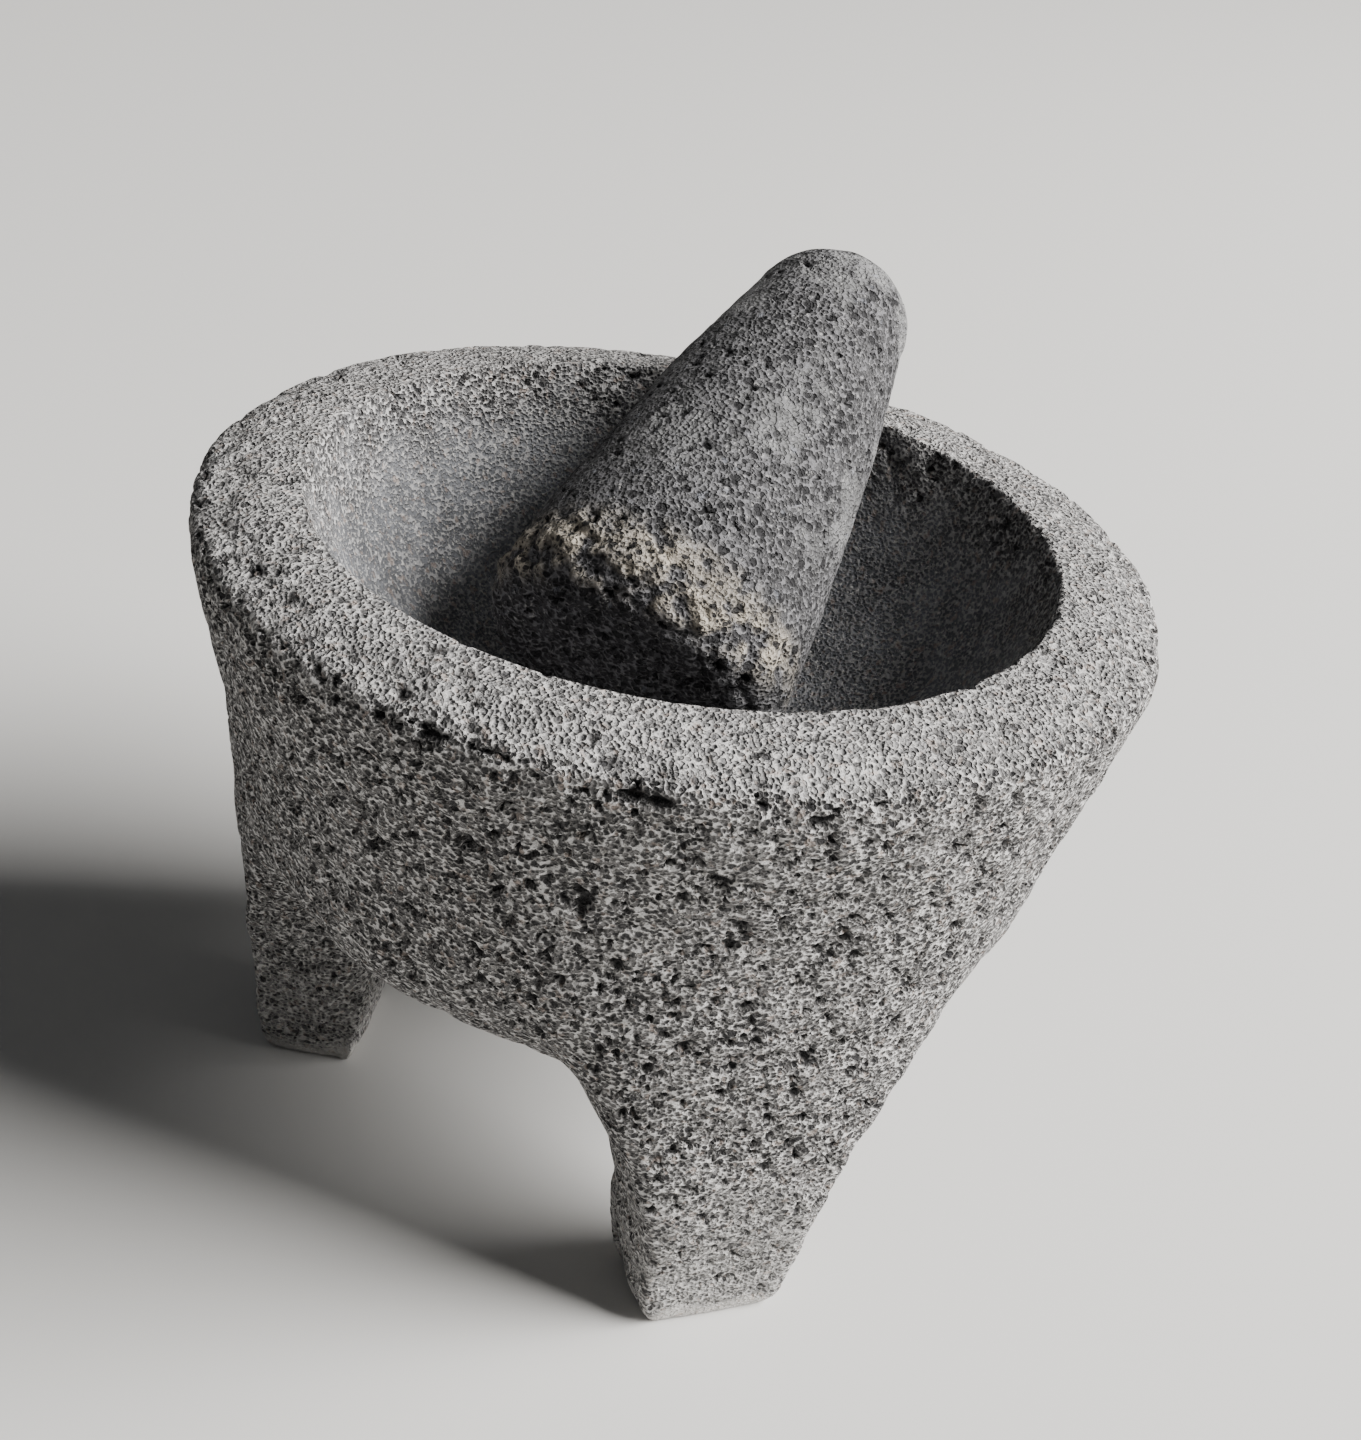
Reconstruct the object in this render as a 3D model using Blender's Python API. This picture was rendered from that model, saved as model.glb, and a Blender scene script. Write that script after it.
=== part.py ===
"""Molcajete: a three-legged mortar and its pestle (tejolote), each carved from one stone.

Metres, +Z up. The origin is on the ground, in the middle of the three feet, and the front
foot points to -Y. Heights are measured from the ground, radii from the mortar's axis.
"""
from math import atan2, cos, pi, radians, sin

import bmesh
import bpy
from mathutils import Matrix, Vector

# Mortar: bowl and rim.
HEIGHT = 0.1293           # crest of the rim
RIM_RADIUS = 0.0855       # outermost edge of the rim
RIM_WIDTH = 0.0200        # from that edge in to the mouth of the bowl
BOWL_DEPTH = 0.0505       # from the crest down to the bowl's floor
LIP_ROUND = 0.0024        # rounding between the bowl's wall and the crest
RIM_DROP = 0.0024         # fall of the rim's top from the crest to its outer edge
EDGE_ROUND = 0.0046       # rounding between the rim's top and the outer wall
BOWL_SWEEP = radians(75)  # arc of the bowl's section; a right angle would end upright
MOUTH_RADIUS = RIM_RADIUS - RIM_WIDTH

# Mortar: outer wall and underside.
WALL_TAPER = 0.0090       # how much narrower the wall is where it turns under
WAIST_HEIGHT = 0.0850     # where it turns under
UNDERSIDE_HEIGHT = 0.0340  # lowest point of the bowl's underside
WAIST_RADIUS = RIM_RADIUS - WALL_TAPER

# Mortar: legs, drawn out of the underside.
LEG_COUNT = 3
FRONT_LEG_ANGLE = radians(-90)
FOOT_INSET = 0.0195       # from the waist's radius in to the middle of each foot
FOOT_WIDTH = 0.0255
FOOT_DEPTH = 0.0190
ANKLE_HEIGHT = 0.0100
ANKLE_WIDTH = 0.0300
ANKLE_DEPTH = 0.0205
KNEE_DROP = 0.0010        # from the bowl's underside down to the knee
KNEE_OUTSET = 0.0010      # middle of the knee, outside the middle of the foot
KNEE_WIDTH = 0.0350
KNEE_DEPTH = 0.0250
FOOT_RADIUS = WAIST_RADIUS - FOOT_INSET

# Pestle.
PESTLE_WIDE_RADIUS = 0.0287
PESTLE_NARROW_RADIUS = 0.0163
PESTLE_CONE_LENGTH = 0.0800    # from the wide end's shoulder to the narrow end's dome
PESTLE_DOME = 0.0160           # height of the narrow end's dome
PESTLE_BULGE = 0.0020          # how far the wide end's face stands out
SHOULDER_ROUND = 0.0085
PESTLE_BELLY = 0.0013          # how far its side swells beyond a straight cone, halfway up
PESTLE_ANGLE = radians(43.6)   # direction that the narrow end points to, seen from above
PESTLE_SETBACK = 0.0085        # wide end's middle, this far past the axis from the narrow end
PESTLE_ASIDE = 0.0016          # its axis passes this far beside the mortar's, to the left
REST_GAP = 0.0005              # left between the stones where the pestle rests

# Fineness of the solids.
CAGE_SECTORS = 24         # sides of the mortar's cage; a multiple of twice LEG_COUNT
LEG_SECTORS = 4           # how many of them a leg takes
PESTLE_SEGMENTS = 32
OUTLINE_STEPS = 50        # per stretch of the pestle's section, where its rest is worked out


def clear_scene():
    for obj in list(bpy.data.objects):
        bpy.data.objects.remove(obj, do_unlink=True)


def stone(name, colour, roughness):
    material = bpy.data.materials.new(name)
    material.use_nodes = True
    shader = material.node_tree.nodes["Principled BSDF"]
    shader.inputs["Base Color"].default_value = (*colour, 1.0)
    shader.inputs["Roughness"].default_value = roughness
    return material


def finish_object(name, bm, material):
    mesh = bpy.data.meshes.new(name)
    bm.to_mesh(mesh)
    bm.free()
    mesh.materials.append(material)
    mesh.shade_smooth()
    mesh.set_sharp_from_angle(angle=radians(50))
    obj = bpy.data.objects.new(name, mesh)
    bpy.context.collection.objects.link(obj)
    return obj


def spun(section, steps):
    """A closed turned shape from a section of (radius, height) points, pole to pole."""
    bm = bmesh.new()
    verts = [bm.verts.new((radius, 0.0, height)) for radius, height in section]
    edges = [bm.edges.new(pair) for pair in zip(verts, verts[1:])]
    bmesh.ops.spin(bm, geom=verts + edges, axis=(0, 0, 1), cent=(0, 0, 0), angle=2 * pi,
                   steps=steps, use_merge=True)
    bmesh.ops.remove_doubles(bm, verts=bm.verts, dist=0.00001)
    bmesh.ops.recalc_face_normals(bm, faces=bm.faces)
    return bm


def dish(radius, bottom, rise, sweep, steps):
    """Section points of a dish, from its middle out to its radius."""
    points = []
    for step in range(steps + 1):
        angle = sweep * step / steps
        points.append((radius * sin(angle) / sin(sweep),
                       bottom + rise * (1 - cos(angle)) / (1 - cos(sweep))))
    return points


def bowl_section():
    """The mortar's section starts in the middle of the bowl's floor and ends at its mouth."""
    return dish(MOUTH_RADIUS, HEIGHT - BOWL_DEPTH, BOWL_DEPTH - LIP_ROUND, BOWL_SWEEP, 5)


def rim_section():
    """Over the rim, from the crest to the outermost edge."""
    edge_height = HEIGHT - RIM_DROP - EDGE_ROUND
    return [
        (MOUTH_RADIUS + LIP_ROUND, HEIGHT),
        ((MOUTH_RADIUS + RIM_RADIUS) / 2, HEIGHT - RIM_DROP / 3),
        (RIM_RADIUS - EDGE_ROUND, HEIGHT - RIM_DROP),
        (RIM_RADIUS, edge_height),
    ]


def wall_section():
    """Down the tapering wall and under the bowl to its axis."""
    middle_radius = (RIM_RADIUS + WAIST_RADIUS) / 2
    middle_height = (HEIGHT - RIM_DROP - EDGE_ROUND + WAIST_HEIGHT) / 2
    below = dish(WAIST_RADIUS, UNDERSIDE_HEIGHT, WAIST_HEIGHT - UNDERSIDE_HEIGHT, pi / 2, 5)
    return [(middle_radius, middle_height)] + below[::-1]


def subdivided(cage):
    """A cage's section after one Catmull-Clark step: every other point is a moved old one."""
    points = [cage[0]]
    for i, (before, after) in enumerate(zip(cage, cage[1:])):
        points.append(((before[0] + after[0]) / 2, (before[1] + after[1]) / 2))
        following = cage[min(i + 2, len(cage) - 1)]
        points.append(tuple((a + 6 * b + c) / 8 for a, b, c in zip(before, after, following)))
    points[-1] = cage[-1]
    return points


def mortar_cage():
    """The cage whose subdivided surface passes through the mortar's section."""
    target = bowl_section() + rim_section() + wall_section()
    cage = list(target)
    for _ in range(20):
        cage = [tuple(c + t - p for c, t, p in zip(*trio))
                for trio in zip(cage, target, subdivided(cage)[::2])]
    return cage


def leg_faces(bm, angle, inner, outer):
    """Underside faces of one leg's sector, between two radii."""
    along = Vector((cos(angle), sin(angle)))
    half = pi * LEG_SECTORS / CAGE_SECTORS
    faces = []
    for face in bm.faces:
        centre = face.calc_center_median()
        under = face.normal.z < 0 and centre.z < WAIST_HEIGHT
        if under and inner < centre.xy.length < outer and centre.xy.angle(along) < half:
            faces.append(face)
    return faces


def draw_leg(bm, angle, faces):
    """Draws the faces down to a flat foot by way of the knee and the ankle."""
    turn = Matrix.Rotation(angle, 4, "Z")
    half = pi * LEG_SECTORS / CAGE_SECTORS
    verts = {vert for face in faces for vert in face.verts}
    inner = min(vert.co.xy.length for vert in verts)
    outer = max(vert.co.xy.length for vert in verts)
    across = bm.verts.layers.float["across"]
    outward = bm.verts.layers.float["outward"]
    for vert in verts:
        local = turn.inverted() @ vert.co
        vert[across] = atan2(local.y, local.x) / half
        vert[outward] = 2 * (vert.co.xy.length - inner) / (outer - inner) - 1
    stages = [
        (UNDERSIDE_HEIGHT - KNEE_DROP, FOOT_RADIUS + KNEE_OUTSET, KNEE_WIDTH, KNEE_DEPTH),
        (ANKLE_HEIGHT, FOOT_RADIUS, ANKLE_WIDTH, ANKLE_DEPTH),
        (0.0, FOOT_RADIUS, FOOT_WIDTH, FOOT_DEPTH),
    ]
    for height, radius, width, depth in stages:
        edges = list({edge for face in faces for edge in face.edges})
        extruded = bmesh.ops.extrude_face_region(bm, geom=faces + edges)["geom"]
        faces = [item for item in extruded if isinstance(item, bmesh.types.BMFace)]
        for vert in {vert for face in faces for vert in face.verts}:
            vert.co = turn @ Vector((radius + vert[outward] * depth / 2,
                                     vert[across] * width / 2, height))
    return faces


def make_mortar():
    cage = mortar_cage()
    around = (3 + cos(2 * pi / CAGE_SECTORS)) / 4  # how far subdividing draws a ring in
    bm = spun([(radius / around, height) for radius, height in cage], CAGE_SECTORS)
    crease = bm.edges.layers.float.new("crease_edge")
    for name in ("across", "outward"):
        bm.verts.layers.float.new(name)
    radii = [radius for radius, _ in cage]
    outer = (radii[-6] + radii[-5]) / 2
    inner = (radii[-4] + radii[-3]) / 2
    for leg in range(LEG_COUNT):
        angle = FRONT_LEG_ANGLE + 2 * pi * leg / LEG_COUNT
        sole = draw_leg(bm, angle, leg_faces(bm, angle, inner, outer))
        for edge in {edge for face in sole for edge in face.edges}:
            if any(face not in sole for face in edge.link_faces):
                edge[crease] = 1.0
    for name in ("across", "outward"):
        bm.verts.layers.float.remove(bm.verts.layers.float[name])
    mortar = finish_object("mortar", bm, stone("basalt", (0.235, 0.235, 0.24), 0.9))
    smooth = mortar.modifiers.new("Carved curves", "SUBSURF")
    smooth.levels = smooth.render_levels = 1
    smooth.use_limit_surface = False
    return mortar


def pestle_section():
    """From the middle of the wide end to the tip, as (radius, distance from the shoulder)."""
    slope = atan2(PESTLE_WIDE_RADIUS - PESTLE_NARROW_RADIUS, PESTLE_CONE_LENGTH)
    face_radius = PESTLE_WIDE_RADIUS - SHOULDER_ROUND
    points = dish(face_radius, -SHOULDER_ROUND - PESTLE_BULGE, PESTLE_BULGE, pi / 3, 3)
    for step in range(1, 6):
        angle = (pi / 2 + slope) * step / 5
        points.append((face_radius + SHOULDER_ROUND * sin(angle), -SHOULDER_ROUND * cos(angle)))
    for step in range(1, 5):
        share = step / 5
        straight = PESTLE_WIDE_RADIUS + (PESTLE_NARROW_RADIUS - PESTLE_WIDE_RADIUS) * share
        points.append((straight + PESTLE_BELLY * sin(pi * share), PESTLE_CONE_LENGTH * share))
    for step in range(8):
        angle = pi / 2 * step / 7
        points.append((PESTLE_NARROW_RADIUS * cos(angle),
                       PESTLE_CONE_LENGTH + PESTLE_DOME * sin(angle)))
    return points


def height_at(section, radius):
    """Height of the first stretch of a section that spans a radius."""
    for (r1, z1), (r2, z2) in zip(section, section[1:]):
        if r1 <= radius <= r2:
            return z1 + (z2 - z1) * (radius - r1) / (r2 - r1)
    return 0.0


def resting_height(seat, outline, lean):
    """How high the leaning pestle's origin must be for part of its outline to clear the seat."""
    heights = []
    for radius, along in outline:
        reach = along * cos(lean) + radius * sin(lean) - PESTLE_SETBACK
        drop = along * sin(lean) - radius * cos(lean)
        heights.append(height_at(seat, abs(reach)) + REST_GAP - drop)
    return max(heights)


def pestle_rest():
    """The lean and the height at which the heel meets the floor and the side meets the rim."""
    seat = subdivided(mortar_cage())
    section = pestle_section()
    outline = [tuple(a + (b - a) * i / OUTLINE_STEPS for a, b in zip(start, end))
               for start, end in zip(section, section[1:]) for i in range(OUTLINE_STEPS)]
    heel = [point for point in outline if point[1] < PESTLE_CONE_LENGTH / 3]
    side = [point for point in outline if point[1] >= PESTLE_CONE_LENGTH / 3]
    low, high = radians(2), radians(80)
    for _ in range(40):
        lean = (low + high) / 2
        if resting_height(seat, heel, lean) > resting_height(seat, side, lean):
            high = lean
        else:
            low = lean
    return lean, resting_height(seat, outline, lean)


def make_pestle():
    bm = spun(pestle_section(), PESTLE_SEGMENTS)
    pestle = finish_object("pestle", bm, stone("fine_basalt", (0.17, 0.17, 0.175), 0.85))
    lean, height = pestle_rest()
    heading = Matrix.Rotation(PESTLE_ANGLE, 4, "Z")
    pestle.location = heading @ Vector((-PESTLE_SETBACK, PESTLE_ASIDE, height))
    pestle.rotation_euler = (heading @ Matrix.Rotation(pi / 2 - lean, 4, "Y")).to_euler()
    return pestle


def main():
    clear_scene()
    make_mortar()
    make_pestle()


main()
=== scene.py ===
"""Looks of the molcajete: a basalt mortar on three legs and its pestle.

Laid out as an add-on and run as a script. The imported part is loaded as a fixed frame, each
stone is carved over its own solid, and the two are set on a pale floor.
"""
from math import pi, radians

import bmesh
import bpy
import numpy as np
from bpy.props import FloatProperty, IntProperty, PointerProperty, StringProperty
from mathutils import Matrix, Vector, noise


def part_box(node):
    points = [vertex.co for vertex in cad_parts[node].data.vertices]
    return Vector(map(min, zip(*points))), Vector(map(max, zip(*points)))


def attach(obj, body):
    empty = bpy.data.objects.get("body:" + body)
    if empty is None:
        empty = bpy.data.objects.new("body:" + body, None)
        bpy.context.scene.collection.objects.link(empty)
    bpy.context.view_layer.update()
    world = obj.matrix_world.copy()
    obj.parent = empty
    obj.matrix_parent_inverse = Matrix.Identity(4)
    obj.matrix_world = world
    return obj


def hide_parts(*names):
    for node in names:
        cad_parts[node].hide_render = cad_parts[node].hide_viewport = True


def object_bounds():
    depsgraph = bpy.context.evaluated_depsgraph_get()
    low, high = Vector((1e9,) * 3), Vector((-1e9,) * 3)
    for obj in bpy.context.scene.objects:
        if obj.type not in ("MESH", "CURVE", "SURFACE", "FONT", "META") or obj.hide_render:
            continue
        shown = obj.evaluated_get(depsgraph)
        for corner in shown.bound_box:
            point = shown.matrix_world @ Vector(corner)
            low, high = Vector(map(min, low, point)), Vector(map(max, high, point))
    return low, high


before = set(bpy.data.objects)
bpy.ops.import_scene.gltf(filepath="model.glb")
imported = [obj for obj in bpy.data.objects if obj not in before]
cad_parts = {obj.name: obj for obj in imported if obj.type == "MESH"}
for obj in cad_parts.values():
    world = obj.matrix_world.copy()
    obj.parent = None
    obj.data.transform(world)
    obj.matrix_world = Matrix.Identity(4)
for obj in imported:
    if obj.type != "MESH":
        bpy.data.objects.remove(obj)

CAD_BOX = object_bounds()
TOUCHING = 1e-6  # corners nearer than this are one corner
ON_FLOOR = 1e-5  # anything lower than this stands on the floor

LEG_DIRECTIONS = (radians(-90), radians(30), radians(150))

# Large bubbles that broke open on the front of the wall: direction, height and radius.
BROKEN_BUBBLES = (
    (radians(-137), 0.124, 0.0017), (radians(-128), 0.116, 0.0017),
    (radians(-119), 0.100, 0.0019), (radians(-116), 0.124, 0.0021),
    (radians(-113), 0.123, 0.0022), (radians(-105), 0.109, 0.0017),
    (radians(-97), 0.122, 0.0018),
)

# Gas bubbles cut by a carved surface: their spacing, smallest and largest radius, and seed.
SMALL_BUBBLES = (0.0021, 0.0003, 0.0012, 1)
MIDDLING_BUBBLES = (0.0038, 0.0002, 0.0014, 2)
RARE_BUBBLES = (0.016, 0.0002, 0.0022, 4)
PESTLE_BUBBLES = (0.0031, 0.0002, 0.0012, 7)
BRUISED_BUBBLES = (0.0022, 0.0003, 0.0008, 8)

# Area lights: name, offset from the part's middle, width, power in watts and colour.
LIGHTS = (
    ("window", (2.1, -1.125, 1.8), 2.25, 400.0, (1.0, 0.985, 0.97)),
    ("room", (-2.0, -1.5, 2.5), 3.5, 3.75, (0.95, 0.97, 1.0)),
)

bl_info = {
    "name": "Molcajete",
    "version": (1, 0, 0),
    "blender": (4, 5, 0),
    "location": "3D View > Sidebar > Molcajete",
    "description": "Carves a basalt mortar and its pestle over their plain solids",
    "category": "Object",
}


# ---------------------------------------------------------------- settings

class MortarSettings(bpy.types.PropertyGroup):
    rim_width: FloatProperty(
        name="Rim width", description="From the outermost edge in to the mouth of the bowl",
        default=0.020, unit="LENGTH")
    bowl_depth: FloatProperty(
        name="Bowl depth", description="From the rim's crest down to the bowl's floor",
        default=0.0505, unit="LENGTH")
    grain: FloatProperty(
        name="Grain", description="Edge of the even mesh that the pits are carved in",
        default=0.0006, unit="LENGTH")
    triangles: IntProperty(
        name="Triangles", description="Most triangles that the carved stone may have",
        default=190000)
    wave: FloatProperty(
        name="Tool waves", description="Depth of the long waves that carving by hand leaves",
        default=0.0011, unit="LENGTH")
    lump: FloatProperty(
        name="Lumps", description="Depth of the short lumps between tool marks", default=0.0007,
        unit="LENGTH")
    chip: FloatProperty(
        name="Chips", description="Depth of the chips along the rim's outer edge",
        default=0.0005, unit="LENGTH")
    deepest_pit: FloatProperty(
        name="Deepest pit", description="Depth that no broken small bubble goes past",
        default=0.0024, unit="LENGTH")
    colour: StringProperty(
        name="Stone", description="Colour of the broken stone between the pores",
        default="6b6968")
    # Painted pale on the ridges: partly the grain of broken stone, partly painted highlight.
    ridge_grain_and_highlight_colour: StringProperty(
        name="Ridges", description="Colour of the sharp ridges between pores", default="c9c7c5")
    pale_colour: StringProperty(
        name="Chafed stone", description="Colour of the legs and soles, chafed and dusty",
        default="c0bdb9")
    worn_colour: StringProperty(
        name="Worn stone", description="Colour of the ground-in bowl", default="6a6c70")
    # Painted shade: this near black stands for the shade inside pores and carved pits, with some
    # grime in the pits.
    pore_shade_and_grime_colour: StringProperty(
        name="Pores", description="Colour inside the pores", default="1b1a1c")


class PestleSettings(bpy.types.PropertyGroup):
    grain: FloatProperty(
        name="Grain", description="Edge of the even mesh that the pits are carved in",
        default=0.00055, unit="LENGTH")
    triangles: IntProperty(
        name="Triangles", description="Most triangles that the carved stone may have",
        default=120000)
    wave: FloatProperty(
        name="Tool waves", description="Depth of the long waves that carving by hand leaves",
        default=0.0007, unit="LENGTH")
    lump: FloatProperty(
        name="Lumps", description="Depth of the lumps, which are larger on bruised stone",
        default=0.0004, unit="LENGTH")
    crumble: FloatProperty(
        name="Crumbs", description="Depth of the crumbly relief of bruised stone",
        default=0.0007, unit="LENGTH")
    deepest_pit: FloatProperty(
        name="Deepest pit", description="Depth that no broken bubble goes past",
        default=0.0013, unit="LENGTH")
    colour: StringProperty(
        name="Stone", description="Colour of the handled stone", default="373638")
    # Painted pale on the ridges: partly the grain of broken stone, partly painted highlight.
    ridge_grain_and_highlight_colour: StringProperty(
        name="Ridges", description="Colour of the grains between pores", default="706f71")
    # Laid only on the raised lumps of the shoulder's upper side: the tan of bruised stone, partly
    # painted light where that side is lit.
    pale_colour: StringProperty(
        name="Bruised stone", description="Colour of the shoulder that strikes the bowl",
        default="aca394")
    worn_colour: StringProperty(
        name="Polished stone", description="Colour where a hand has polished it",
        default="868685")
    # Painted shade: this near black stands for the shade inside pores and carved pits, with some
    # grime in the pits.
    pore_shade_and_grime_colour: StringProperty(
        name="Pores", description="Colour inside the pores", default="141315")


class StageSettings(bpy.types.PropertyGroup):
    lens: FloatProperty(
        name="Lens", description="Focal length on a 36 mm sensor", default=54.4, unit="CAMERA")
    turn: FloatProperty(
        name="Camera turn", description="Direction the camera looks in, from +Y",
        default=radians(-26), subtype="ANGLE")
    dip: FloatProperty(
        name="Camera dip", description="How far the camera looks down", default=radians(30.3),
        subtype="ANGLE")
    roll: FloatProperty(
        name="Camera roll", description="How far the camera is tilted on its side",
        default=radians(9.9), subtype="ANGLE")
    distance: FloatProperty(
        name="Camera distance", description="From the camera to the mortar's middle",
        default=0.4026, unit="LENGTH")
    aim_aside: FloatProperty(
        name="Aim aside", description="How far right of the mortar's axis the camera aims",
        default=0.0051, unit="LENGTH")
    aim_height: FloatProperty(
        name="Aim height", description="Height the camera aims at, as a share of the mortar's",
        default=0.677)
    room_colour: StringProperty(
        name="Room", description="Colour of the light from all round", default="e6e8ec")
    room_light: FloatProperty(
        name="Room light", description="Strength of the light from all round", default=0.08)
    floor_reach: FloatProperty(
        name="Floor reach", description="From the middle of the floor to its sides", default=6.0,
        unit="LENGTH")
    floor_colour: StringProperty(name="Floor", description="Colour of the floor", default="cac9c6")


# ---------------------------------------------------------------- small tools

def linear(hex_colour, alpha=1.0):
    """An sRGB hex colour as linear RGBA."""
    parts = [int(hex_colour[i:i + 2], 16) / 255 for i in (0, 2, 4)]
    return tuple(p / 12.92 if p <= 0.04045 else ((p + 0.055) / 1.055) ** 2.4
                 for p in parts) + (alpha,)


def smoothstep(low, high, values):
    share = np.clip((values - low) / (high - low), 0.0, 1.0)
    return share * share * (3 - 2 * share)


def evaluated_mesh(obj):
    """The object's mesh with its modifiers applied, which are then removed."""
    bpy.context.view_layer.update()
    graph = bpy.context.evaluated_depsgraph_get()
    mesh = bpy.data.meshes.new_from_object(obj.evaluated_get(graph))
    old = obj.data
    obj.modifiers.clear()
    obj.data = mesh
    bpy.data.meshes.remove(old)
    return mesh


def push_out(cage, corners, rounds=5):
    """Moves a subdivided object's cage until its rounded surface passes through the corners
    that the cage starts from, which rounding alone would cut off."""
    target = np.array(corners)
    points = target.copy()
    for _ in range(rounds):
        bpy.context.view_layer.update()
        rounded = cage.evaluated_get(bpy.context.evaluated_depsgraph_get()).data
        reached = np.empty(len(rounded.vertices) * 3)
        rounded.vertices.foreach_get("co", reached)
        points += target - reached.reshape(-1, 3)[:len(target)]
        cage.data.vertices.foreach_set("co", points.ravel())
        cage.data.update()


def stone_blank(node, name, grain):
    """A fine, even, closed mesh in the shape of a node's faceted solid."""
    bm = bmesh.new()
    bm.from_mesh(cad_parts[node].data)
    bmesh.ops.remove_doubles(bm, verts=bm.verts, dist=TOUCHING)
    bmesh.ops.join_triangles(bm, faces=bm.faces, angle_face_threshold=radians(60),
                             angle_shape_threshold=radians(120))
    crease = bm.edges.layers.float.new("crease_edge")
    for edge in bm.edges:
        on_floor = all(vert.co.z < ON_FLOOR for vert in edge.verts)
        if on_floor and any(face.calc_center_median().z > ON_FLOOR for face in edge.link_faces):
            edge[crease] = 1.0
    mesh = bpy.data.meshes.new(name)
    bm.to_mesh(mesh)
    bm.free()
    blank = bpy.data.objects.new(name, mesh)
    bpy.context.collection.objects.link(blank)
    rounded = blank.modifiers.new("Round the facets", "SUBSURF")
    rounded.levels = rounded.render_levels = 2
    push_out(blank, [vert.co for vert in mesh.vertices])
    even = blank.modifiers.new("Even mesh", "REMESH")
    even.mode = "VOXEL"
    even.voxel_size = grain
    soft = blank.modifiers.new("Soften the steps", "SMOOTH")
    soft.iterations = 3
    evaluated_mesh(blank)
    return blank


def read_mesh(mesh):
    points = np.empty(len(mesh.vertices) * 3)
    mesh.vertices.foreach_get("co", points)
    normals = np.empty(len(mesh.vertices) * 3)
    mesh.vertex_normals.foreach_get("vector", normals)
    return points.reshape(-1, 3), normals.reshape(-1, 3)


def write_attribute(mesh, name, values):
    layer = mesh.attributes.new(name, "FLOAT", "POINT")
    layer.data.foreach_set("value", np.asarray(values, np.float32))


def waves(points, length, seed):
    """Smooth noise from 0 to 1 with waves of a given length."""
    shift = Vector((seed * 7.3, seed * 3.1, seed * 5.7))
    values = [noise.noise(Vector(p) / length + shift) for p in points]
    return np.clip(np.array(values) + 0.5, 0.0, 1.0)


def bends(points, length, seed):
    """Smooth random vectors, each part from about -0.9 to 0.9, with waves of a given length.

    Unlike noise.noise, noise_vector draws from a table that is new each run unless seeded."""
    noise.seed_set(seed)
    shift = Vector((seed * 4.7, seed * 8.9, seed * 2.3))
    return np.array([noise.noise_vector(Vector(p) / length + shift) for p in points])


def long_axis(points):
    """The middle of a long piece and the direction it points in, up."""
    middle = points.mean(axis=0)
    axis = np.linalg.svd((points - middle)[::20], full_matrices=False)[2][0]
    return middle, axis * np.sign(axis[2])


def cell_random(cells, channel):
    """Random numbers from 0 to 1, the same each run, one for each lattice cell."""
    mixed = (cells[..., 0] * 73856093) ^ (cells[..., 1] * 19349663) ^ (cells[..., 2] * 83492791)
    mixed = (mixed + channel * 2654435761) & 0xFFFFFFFF
    for shift, factor in ((16, 0x45D9F3B), (15, 0x2C1B3C6D), (16, 0x297A2D39)):
        mixed = ((mixed ^ (mixed >> shift)) * factor) & 0xFFFFFFFF
    return (mixed ^ (mixed >> 16)) / 0xFFFFFFFF


def vesicles(points, normals, spacing, smallest, largest, seed, squash=0.75):
    """How deep each point sinks where the surface cuts through gas bubbles in the stone.

    The bubbles sit one to a cell of a jittered lattice and are flattened along Z."""
    stretch = np.array([1.0, 1.0, 1 / squash])
    place = points * stretch
    facing = normals * stretch
    length = np.linalg.norm(facing, axis=1)
    facing = facing / length[:, None]
    home = np.floor(place / spacing).astype(np.int64)
    depth = np.zeros(len(points))
    for step in np.ndindex(3, 3, 3):
        cells = home + np.array(step) - 1
        jitter = np.stack([cell_random(cells, seed * 11 + i) for i in range(3)], axis=1)
        size = cell_random(cells, seed * 11 + 3) ** 1.6
        radius = smallest + (largest - smallest) * size
        away = place - (cells + jitter) * spacing
        along = (away * facing).sum(axis=1)
        inside = along ** 2 - (away ** 2).sum(axis=1) + radius ** 2
        exits = along + np.sqrt(np.maximum(inside, 0.0))
        hit = (away ** 2).sum(axis=1) < radius ** 2
        depth = np.maximum(depth, np.where(hit, exits, 0.0))
    return depth / length


def worn_soles(points, height, reach=0.005, share=0.10):
    """Draws the end of each leg in towards the middle of its sole, most at the floor."""
    outward = np.arctan2(points[:, 1], points[:, 0])
    fade = share * (1 - np.clip(height / reach, 0, 1)) ** 2
    moved = points.copy()
    for direction in LEG_DIRECTIONS:
        leg = np.cos(outward - direction) > 0.5
        centre = points[leg & (height < 0.1 * reach), :2].mean(axis=0)
        moved[leg, :2] -= (points[leg, :2] - centre) * fade[leg, None]
    return moved


def broken_bubbles(points, wall_radius):
    """How deep each point sinks into the large bubbles of BROKEN_BUBBLES."""
    depth = np.zeros(len(points))
    for angle, height, radius in BROKEN_BUBBLES:
        beside = np.arctan2(points[:, 1], points[:, 0]) - angle
        sideways = wall_radius * np.arctan2(np.sin(beside), np.cos(beside))
        away = np.hypot(sideways, (points[:, 2] - height) * 1.4)
        away[np.hypot(points[:, 0], points[:, 1]) < 0.85 * wall_radius] = np.inf
        depth = np.maximum(depth, radius * np.sqrt(np.maximum(1 - (away / radius) ** 2, 0)))
    return depth


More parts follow.
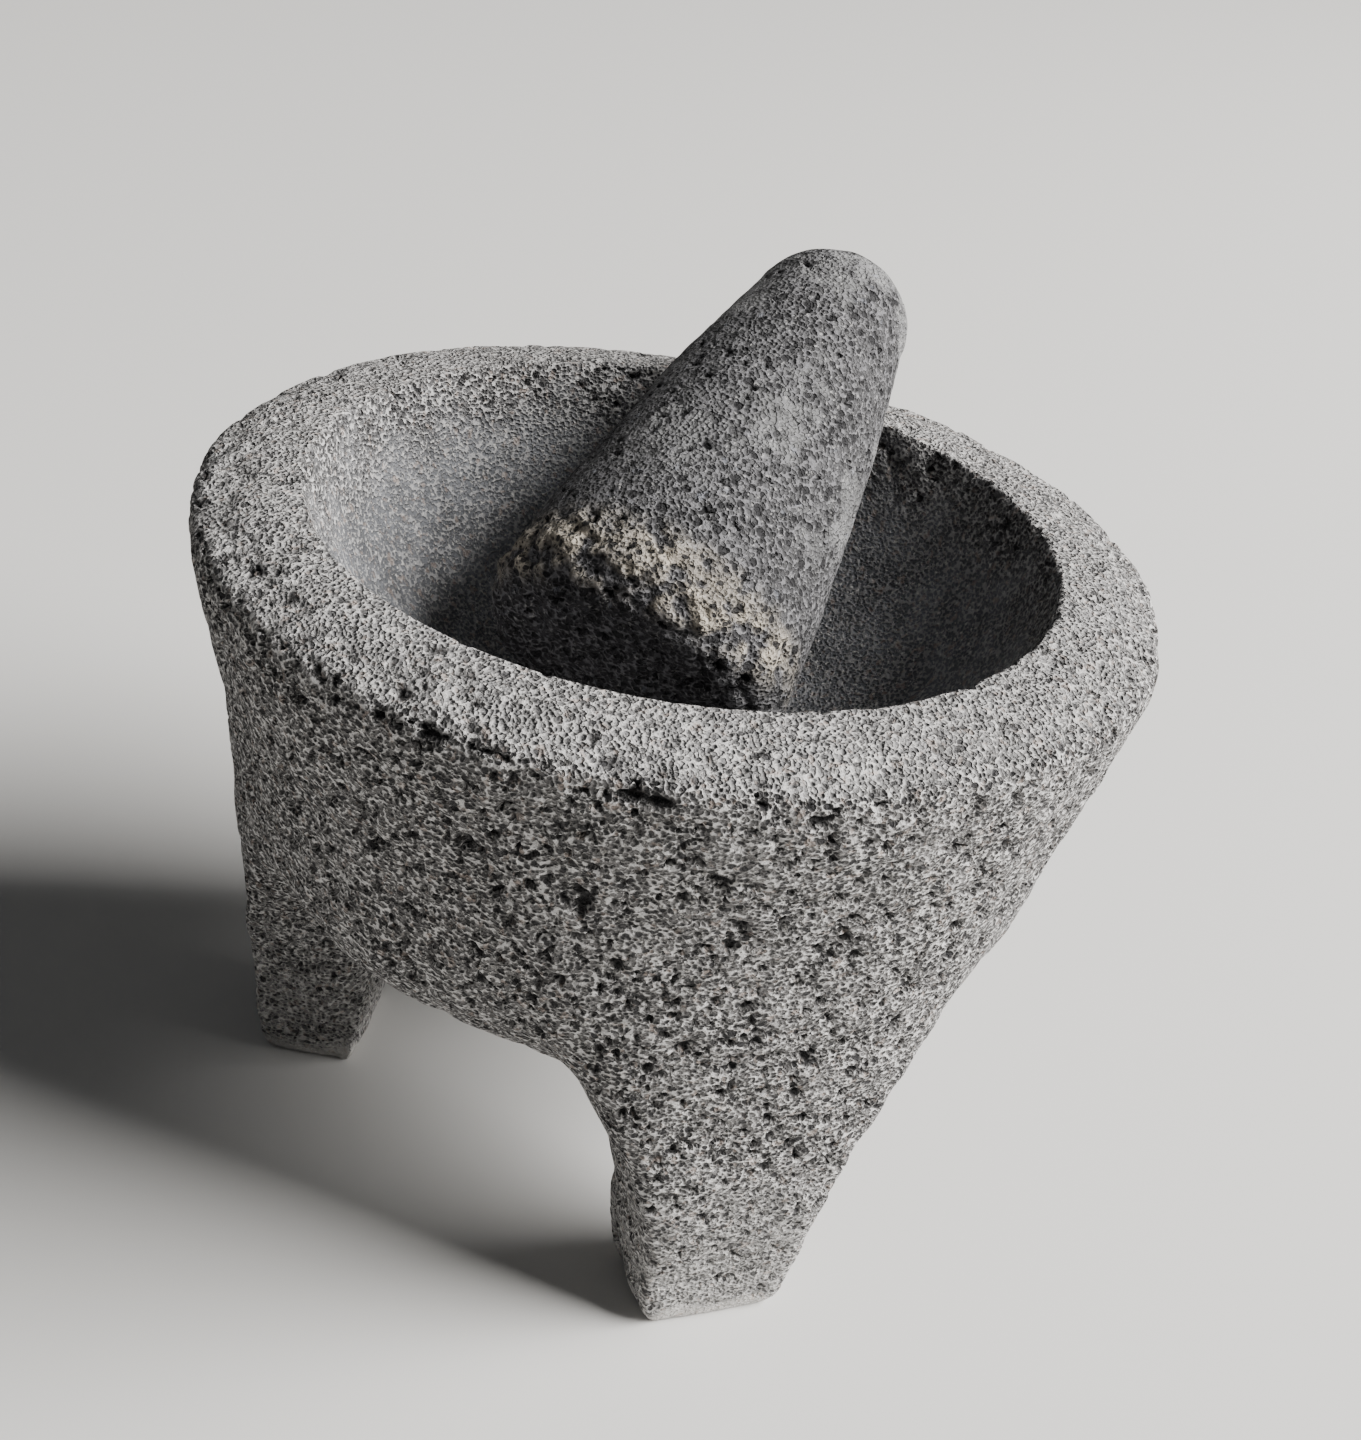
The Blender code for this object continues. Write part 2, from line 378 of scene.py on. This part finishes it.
def carve(blank, points, normals, depth, low, high, triangles):
    """Sinks the points, keeps them inside a box and thins the mesh, with its attributes."""
    mesh = blank.data
    carved = np.clip(points - normals * depth[:, None], low, high)
    mesh.vertices.foreach_set("co", carved.ravel())
    mesh.update()
    count = sum(len(face.vertices) - 2 for face in mesh.polygons)
    if count > triangles:
        thin = blank.modifiers.new("Thin the mesh", "DECIMATE")
        thin.ratio = triangles / count
        mesh = evaluated_mesh(blank)
        thinned = read_mesh(mesh)[0]
        mesh.vertices.foreach_set("co", np.clip(thinned, low, high).ravel())
        mesh.update()
    mesh.shade_smooth()
    return mesh


def add_node(tree, kind, links=None, **settings):
    """Adds a node, with its settings and with links from other nodes' outputs."""
    node = tree.nodes.new(kind)
    for key, value in settings.items():
        if key in node.inputs:
            node.inputs[key].default_value = value
        else:
            setattr(node, key, value)
    for socket, source in (links or {}).items():
        tree.links.new(source, node.inputs[socket])
    return node


# ---------------------------------------------------------------- materials

def stretched(tree, value, low, high, start=0.0, end=1.0):
    """Stretches the part of a value between low and high to run from start to end."""
    node = add_node(tree, "ShaderNodeMapRange", {"Value": value}, interpolation_type="SMOOTHSTEP")
    for socket, number in (("From Min", low), ("From Max", high), ("To Min", start), ("To Max", end)):
        node.inputs[socket].default_value = number
    return node.outputs[0]


def calculated(tree, operation, first, second):
    """The result of a sum on two values, each a node's output or a number."""
    node = add_node(tree, "ShaderNodeMath", operation=operation)
    for socket, value in enumerate((first, second)):
        if isinstance(value, (int, float)):
            node.inputs[socket].default_value = value
        else:
            tree.links.new(value, node.inputs[socket])
    return node.outputs[0]


def tinted(tree, colour, mask, hex_colour):
    """A colour that turns into another where the mask is 1."""
    node = add_node(tree, "ShaderNodeMix", {"Factor": mask, 6: colour}, data_type="RGBA")
    node.inputs[7].default_value = linear(hex_colour)
    return node.outputs[2]


def round_pores(tree, place, size, fewest, most):
    """A mask of round pores, one to a cell of this size in mm: 1 inside a pore. A pore is from
    fewest to most of its cell wide, as its cell's random number grows."""
    cell = add_node(tree, "ShaderNodeTexVoronoi", {"Vector": place}, Scale=1000 / size)
    spread = add_node(tree, "ShaderNodeSeparateColor", {"Color": cell.outputs["Color"]})
    reach = stretched(tree, spread.outputs[0], 0.0, 1.0, fewest, most)
    inner = calculated(tree, "SUBTRACT", reach, cell.outputs["Distance"])
    return stretched(tree, inner, -0.02, 0.10)


def basalt(name, settings, pores, fine, foaminess, flecks, bump):
    """Basalt lava, carved and left unpolished: matt grey stone with painted shade where the surface
    cuts gas bubbles, pale along the sharp ridges between them, partly the stone's own grain and
    partly painted highlight, and speckled with mineral grains.

    pores lists round pores as cell in mm, fewest and most, and fine is the foam's cell in mm.
    flecks lists grains as size in mm, threshold, colour and strength, and bump is in metres.
    The carved-pit attribute is 1 down in a carved pit, where it paints shade and some grime, worn is
    1 where grinding or handling has closed the pores, and pale is 1 where the stone is freshly broken
    or dusty, on the pestle's upper shoulder partly as painted light."""
    material = bpy.data.materials.new(name)
    material.use_nodes = True
    tree = material.node_tree
    shader = tree.nodes["Principled BSDF"]
    shader.inputs["IOR"].default_value = 1.5
    place = add_node(tree, "ShaderNodeTexCoord").outputs["Object"]
    worn, pit_shade_and_grime, pale = (
        add_node(tree, "ShaderNodeAttribute", attribute_name=key).outputs["Fac"]
        for key in ("worn", "pit_shade_and_grime", "pale"))

    # Bubbles are never quite round, and lie a little flattened along Z.
    bend = add_node(tree, "ShaderNodeTexNoise", {"Vector": place}, Scale=1000 / 1.7, Detail=2.0)
    bent = add_node(tree, "ShaderNodeVectorMath", {0: bend.outputs["Color"], 2: place},
                    operation="MULTIPLY_ADD")
    bent.inputs[1].default_value = (0.0009, 0.0009, 0.0009)
    flattened = add_node(tree, "ShaderNodeMapping", {"Vector": bent.outputs[0]}, Scale=(1, 1, 1.3))
    fabric = flattened.outputs[0]

    # Foam: hollows of uneven depth, each in its own cell, with thin ridges where cells meet.
    foam = add_node(tree, "ShaderNodeTexVoronoi", {"Vector": fabric}, Scale=1000 / fine)
    chance = add_node(tree, "ShaderNodeSeparateColor", {"Color": foam.outputs["Color"]})
    hollow = stretched(tree, foam.outputs["Distance"], 0.52, 0.14)
    gaps = calculated(tree, "MULTIPLY", hollow,
                      stretched(tree, chance.outputs[0], 0.1, 0.95, 0.1, foaminess))
    ridges = stretched(tree, foam.outputs["Distance"], 0.46, 0.70)
    for size, fewest, most in pores:
        gaps = calculated(tree, "MAXIMUM", gaps, round_pores(tree, fabric, size, fewest, most))
    open_share = stretched(tree, worn, 0.0, 1.0, 1.0, 0.22)
    gaps = calculated(tree, "MULTIPLY", gaps, open_share)
    # Pores and carved pits are darkened as painted shade, with some grime in the pits.
    pore_shade_and_grime = calculated(tree, "MAXIMUM", gaps, pit_shade_and_grime)

    cloud = add_node(tree, "ShaderNodeTexNoise", {"Vector": place}, Scale=1000 / 9, Detail=5.0)
    stone = add_node(tree, "ShaderNodeMix", {"Factor": worn}, data_type="RGBA")
    stone.inputs[6].default_value = linear(settings.colour)
    stone.inputs[7].default_value = linear(settings.worn_colour)
    clouded = add_node(tree, "ShaderNodeVectorMath",
                       {0: stone.outputs[2],
                        3: stretched(tree, cloud.outputs[0], 0.3, 0.7, 0.6, 1.3)},
                       operation="SCALE")
    # The ridges between pores are painted pale: partly the stone's grain, partly painted highlight.
    ridge_grain_and_highlight_share = calculated(tree, "MULTIPLY", ridges, stretched(tree, worn, 0.0, 1.0, 0.85, 0.40))
    colour = tinted(tree, clouded.outputs[0], ridge_grain_and_highlight_share, settings.ridge_grain_and_highlight_colour)
    # Pale stone is laid only on raised parts, leaving the hollows darker; on the pestle's upper
    # shoulder this pale is partly painted light.
    raised = calculated(tree, "MAXIMUM", worn, stretched(tree, foam.outputs["Distance"], 0.1, 0.45))
    colour = tinted(tree, colour, calculated(tree, "MULTIPLY", pale, raised), settings.pale_colour)
    for size, threshold, hex_colour, strength in flecks:
        speck = add_node(tree, "ShaderNodeTexNoise", {"Vector": bent.outputs[0]},
                         Scale=1000 / size, Detail=2.0).outputs[0]
        colour = tinted(tree, colour, stretched(tree, speck, threshold, threshold + 0.08,
                                                0.0, strength), hex_colour)
    # Painted shade: the pores and pits turn towards the near-black pore colour.
    colour = tinted(tree, colour, stretched(tree, pore_shade_and_grime, 0.0, 1.0, 0.0, 0.93),
                    settings.pore_shade_and_grime_colour)
    tree.links.new(colour, shader.inputs["Base Color"])
    tree.links.new(stretched(tree, worn, 0.0, 1.0, 0.95, 0.7), shader.inputs["Roughness"])

    # Relief: the gaps sink and the grit between them stands up.
    grit = add_node(tree, "ShaderNodeTexNoise", {"Vector": place}, Scale=1000 / 0.6, Detail=3.0,
                    Roughness=0.6).outputs[0]
    relief = calculated(tree, "MULTIPLY", calculated(tree, "ADD", ridges, grit), 0.7)
    relief = calculated(tree, "MULTIPLY", relief, stretched(tree, worn, 0.0, 1.0, 1.0, 0.45))
    relief = calculated(tree, "SUBTRACT", relief, gaps)
    sunken = add_node(tree, "ShaderNodeBump", {"Height": relief}, Distance=bump, Strength=1.0)
    tree.links.new(sunken.outputs[0], shader.inputs["Normal"])
    return material


def vesicular_basalt(settings):
    """Rough-hewn basalt full of 1 to 4 mm gas bubbles: a pale web of ridges, partly painted
    highlight, round pits painted black as shade.
    """
    return basalt("hewn_vesicular_basalt", settings,
                  pores=((2.3, 0.0, 0.36), (1.5, 0.0, 0.38)), fine=0.82, foaminess=1.0,
                  flecks=((0.7, 0.60, "dedbd5", 0.6), (1.8, 0.60, "a8968a", 0.45)), bump=0.0010)


def handled_basalt(settings):
    """Denser basalt, rubbed by hands: even dark grey with scattered pinholes painted black as shade.
    """
    return basalt("handled_basalt", settings,
                  pores=((2.9, 0.05, 0.40), (1.8, 0.0, 0.42)), fine=0.9, foaminess=0.65,
                  flecks=((0.8, 0.62, "b5b3b0", 0.5), (3.0, 0.66, "8b8f99", 0.3)), bump=0.0008)


def matt_floor(settings):
    """Matt painted board: an even pale surface that takes a soft shadow."""
    material = bpy.data.materials.new("matt_board")
    material.use_nodes = True
    shader = material.node_tree.nodes["Principled BSDF"]
    shader.inputs["Base Color"].default_value = linear(settings.floor_colour)
    shader.inputs["Roughness"].default_value = 0.85
    return material


# ---------------------------------------------------------------- operators

class MOLCAJETE_OT_mortar(bpy.types.Operator):
    """Carve the mortar: pitted outside, ground smooth in the bowl"""
    bl_idname = "molcajete.mortar"
    bl_label = "Carve mortar"

    def execute(self, context):
        settings = context.scene.molcajete_mortar
        low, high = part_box("mortar")
        blank = stone_blank("mortar", "carved_mortar", settings.grain)
        points, normals = read_mesh(blank.data)
        radius = np.hypot(points[:, 0], points[:, 1])
        height = points[:, 2] - low.z
        wall_radius = (high.x - low.x) / 2
        top = high.z - low.z
        mouth = wall_radius - settings.rim_width
        floor = top - settings.bowl_depth

        # Shares from 0 to 1: how far a point is in the bowl, on the rim, down a leg and so on.
        in_bowl = smoothstep(floor - 0.006, floor - 0.002, height)
        ragged = radius + 0.003 * (waves(points, 0.007, 14) - 0.5)
        inside = smoothstep(mouth + 0.004, mouth - 0.008, ragged) * in_bowl
        rim = smoothstep(0.75, 0.95, normals[:, 2]) * smoothstep(top - 0.0293, top - 0.0093, height)
        above_sole = smoothstep(0.0, 0.003, height)
        leg = smoothstep(0.050, 0.008, height)
        sole_band = smoothstep(0.0050, 0.0032, height + 0.003 * (waves(points, 0.006, 15) - 0.5))
        edge = smoothstep(0.010, 0.004, np.abs(radius - wall_radius + 0.003))
        edge *= smoothstep(top - 0.0243, top - 0.0093, height)

        bent = points + 0.0018 * bends(points, 0.0028, 3)
        pits = np.maximum.reduce([
            vesicles(bent, normals, *bubbles)
            for bubbles in (SMALL_BUBBLES, MIDDLING_BUBBLES, RARE_BUBBLES)])
        pits = np.minimum(pits, settings.deepest_pit) * (1 - 0.93 * inside) * (1 - 0.35 * rim)
        pits *= above_sole * (1 - 0.5 * leg) * (1 - 0.8 * sole_band)
        pits = np.maximum(pits, broken_bubbles(bent, wall_radius))
        chips = settings.chip * edge * smoothstep(0.55, 0.85, waves(points, 0.004, 8))
        lumps = settings.lump * (waves(points, 0.006, 2) - 0.4) * above_sole
        depth = settings.wave * (waves(points, 0.030, 1) - 0.5) * smoothstep(0.0, 0.02, height)
        depth += lumps * (1 - 0.7 * inside) * (1 - 0.6 * edge) + pits + chips
        # The pestle rests within half a millimetre of the bowl, so nothing may swell there.
        bowl_side = smoothstep(mouth + 0.012, mouth + 0.006, radius) * in_bowl
        depth = np.maximum(depth, -settings.wave * (1 - bowl_side))

        write_attribute(blank.data, "worn",
                        np.maximum.reduce([inside, 0.4 * rim + 0.35 * leg, sole_band]))
        # The carved pits are darkened in the material as painted shade, with some grime.
        write_attribute(blank.data, "pit_shade_and_grime", smoothstep(0.0002, 0.0011, pits))
        write_attribute(blank.data, "pale", np.maximum(0.95 * sole_band, 0.45 * leg + 0.3 * rim))
        points = worn_soles(points, height)
        carve(blank, points, normals, depth, low, high, settings.triangles)
        blank.data.materials.append(vesicular_basalt(settings))
        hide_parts("mortar")
        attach(blank, "mortar")
        return {"FINISHED"}


class MOLCAJETE_OT_pestle(bpy.types.Operator):
    """Carve the pestle: handled smooth, bruised round its wide end"""
    bl_idname = "molcajete.pestle"
    bl_label = "Carve pestle"

    def execute(self, context):
        settings = context.scene.molcajete_pestle
        low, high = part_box("pestle")
        blank = stone_blank("pestle", "carved_pestle", settings.grain)
        points, normals = read_mesh(blank.data)
        middle, axis = long_axis(points)
        along = (points - middle) @ axis
        along -= along.min()
        facing = normals @ axis
        # Shares from 0 to 1: how far a point is on the wide end, its shoulder and so on.
        end_face = smoothstep(-0.45, -0.75, facing) * smoothstep(0.03, 0.02, along)
        shoulder = smoothstep(0.021, 0.012, along) * smoothstep(0.001, 0.006, along)
        upper = smoothstep(-0.2, 0.5, normals[:, 2])
        # The bruised band is kept to the shoulder's upper side; its relief is real, but its pale
        # colour there is partly painted light.
        bruised_and_lit_band = np.clip(shoulder * upper * (0.4 + waves(points, 0.006, 12)), 0, 1)
        patches = waves(points, 0.016, 9) + 0.5 * waves(points, 0.003, 17) - 0.25
        polished = smoothstep(0.40, 0.80, patches)
        polished *= 0.6 * smoothstep(0.02, 0.05, along)
        rough = np.maximum(end_face, bruised_and_lit_band)

        bent = points + 0.0018 * bends(points, 0.0026, 13)
        pits = np.maximum(
            vesicles(bent, normals, *PESTLE_BUBBLES),
            rough * vesicles(bent, normals, *BRUISED_BUBBLES))
        pits = np.minimum(pits, settings.deepest_pit)
        lumps = waves(points, 0.0034, 6) - 0.4
        depth = settings.wave * (waves(points, 0.020, 5) - 0.4) + pits
        depth += settings.lump * (0.5 + 3.5 * rough) * lumps
        depth += settings.crumble * rough * (waves(points, 0.0017, 16) - 0.4)
        # Its lower side rests within half a millimetre of the bowl, so it only sinks there.
        depth = np.maximum(depth, -settings.wave * upper)
        write_attribute(blank.data, "worn", 0.15 + 0.85 * polished - 0.15 * rough)
        # The carved pits are darkened in the material as painted shade, with some grime.
        write_attribute(blank.data, "pit_shade_and_grime", smoothstep(0.0001, 0.0008, pits))
        # Pale only on the raised lumps of that band, hollows left dark: the tan of bruised stone,
        # partly painted light.
        write_attribute(blank.data, "pale", bruised_and_lit_band * smoothstep(0.45, 0.0, lumps))
        carve(blank, points, normals, depth, low, high, settings.triangles)
        blank.data.materials.append(handled_basalt(settings))
        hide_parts("pestle")
        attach(blank, "pestle")
        return {"FINISHED"}


class MOLCAJETE_OT_stage(bpy.types.Operator):
    """Set up the floor, the lights and the camera"""
    bl_idname = "molcajete.stage"
    bl_label = "Set stage"

    def execute(self, context):
        settings = context.scene.molcajete_stage
        self.add_floor(settings)
        self.add_lights(context, settings)
        self.add_camera(context, settings)
        return {"FINISHED"}

    def add_floor(self, settings):
        bm = bmesh.new()
        bmesh.ops.create_grid(bm, x_segments=1, y_segments=1, size=settings.floor_reach)
        mesh = bpy.data.meshes.new("floor")
        bm.to_mesh(mesh)
        bm.free()
        floor = bpy.data.objects.new("floor", mesh)
        bpy.context.collection.objects.link(floor)
        mesh.materials.append(matt_floor(settings))

    def add_lights(self, context, settings):
        middle = sum((Vector(corner) for corner in CAD_BOX), Vector()) / 2
        for name, offset, size, power, colour in LIGHTS:
            data = bpy.data.lights.new(name, "AREA")
            data.size = size
            data.energy = power
            data.color = colour
            light = bpy.data.objects.new(name, data)
            context.collection.objects.link(light)
            light.location = middle + Vector(offset)
            light.rotation_euler = (-Vector(offset)).to_track_quat("-Z", "Y").to_euler()
        world = bpy.data.worlds.new("soft_room")
        world.use_nodes = True
        background = world.node_tree.nodes["Background"]
        background.inputs["Color"].default_value = linear(settings.room_colour)
        background.inputs["Strength"].default_value = settings.room_light
        context.scene.world = world

    def add_camera(self, context, settings):
        """The camera aims a little to the right of the mortar's axis, at two thirds of its
        height, and is rolled about its own line of sight."""
        low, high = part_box("mortar")
        aim = Matrix.Rotation(settings.turn, 3, "Z") @ Vector((settings.aim_aside, 0, 0))
        aim.z = settings.aim_height * (high.z - low.z)
        data = bpy.data.cameras.new("camera")
        data.lens = settings.lens
        camera = bpy.data.objects.new("camera", data)
        context.collection.objects.link(camera)
        turned = (Matrix.Rotation(settings.turn, 4, "Z")
                  @ Matrix.Rotation(pi / 2 - settings.dip, 4, "X")
                  @ Matrix.Rotation(settings.roll, 4, "Z"))
        back = turned @ Vector((0, 0, settings.distance))
        camera.matrix_world = Matrix.Translation(aim + back) @ turned
        context.scene.camera = camera


class MOLCAJETE_PT_panel(bpy.types.Panel):
    """Lists the stones and the stage"""
    bl_label = "Molcajete"
    bl_space_type = "VIEW_3D"
    bl_region_type = "UI"
    bl_category = "Molcajete"

    def draw(self, context):
        for name in ("mortar", "pestle", "stage"):
            box = self.layout.box()
            settings = getattr(context.scene, "molcajete_" + name)
            for key in settings.__annotations__:
                box.prop(settings, key)
            box.operator("molcajete." + name)


CLASSES = (MortarSettings, PestleSettings, StageSettings, MOLCAJETE_OT_mortar,
           MOLCAJETE_OT_pestle, MOLCAJETE_OT_stage, MOLCAJETE_PT_panel)


def register():
    for cls in CLASSES:
        bpy.utils.register_class(cls)
    bpy.types.Scene.molcajete_mortar = PointerProperty(type=MortarSettings)
    bpy.types.Scene.molcajete_pestle = PointerProperty(type=PestleSettings)
    bpy.types.Scene.molcajete_stage = PointerProperty(type=StageSettings)


def unregister():
    del bpy.types.Scene.molcajete_stage
    del bpy.types.Scene.molcajete_pestle
    del bpy.types.Scene.molcajete_mortar
    for cls in reversed(CLASSES):
        bpy.utils.unregister_class(cls)


def main():
    register()
    bpy.ops.molcajete.stage()
    bpy.ops.molcajete.mortar()
    bpy.ops.molcajete.pestle()


if __name__ == "__main__":
    main()
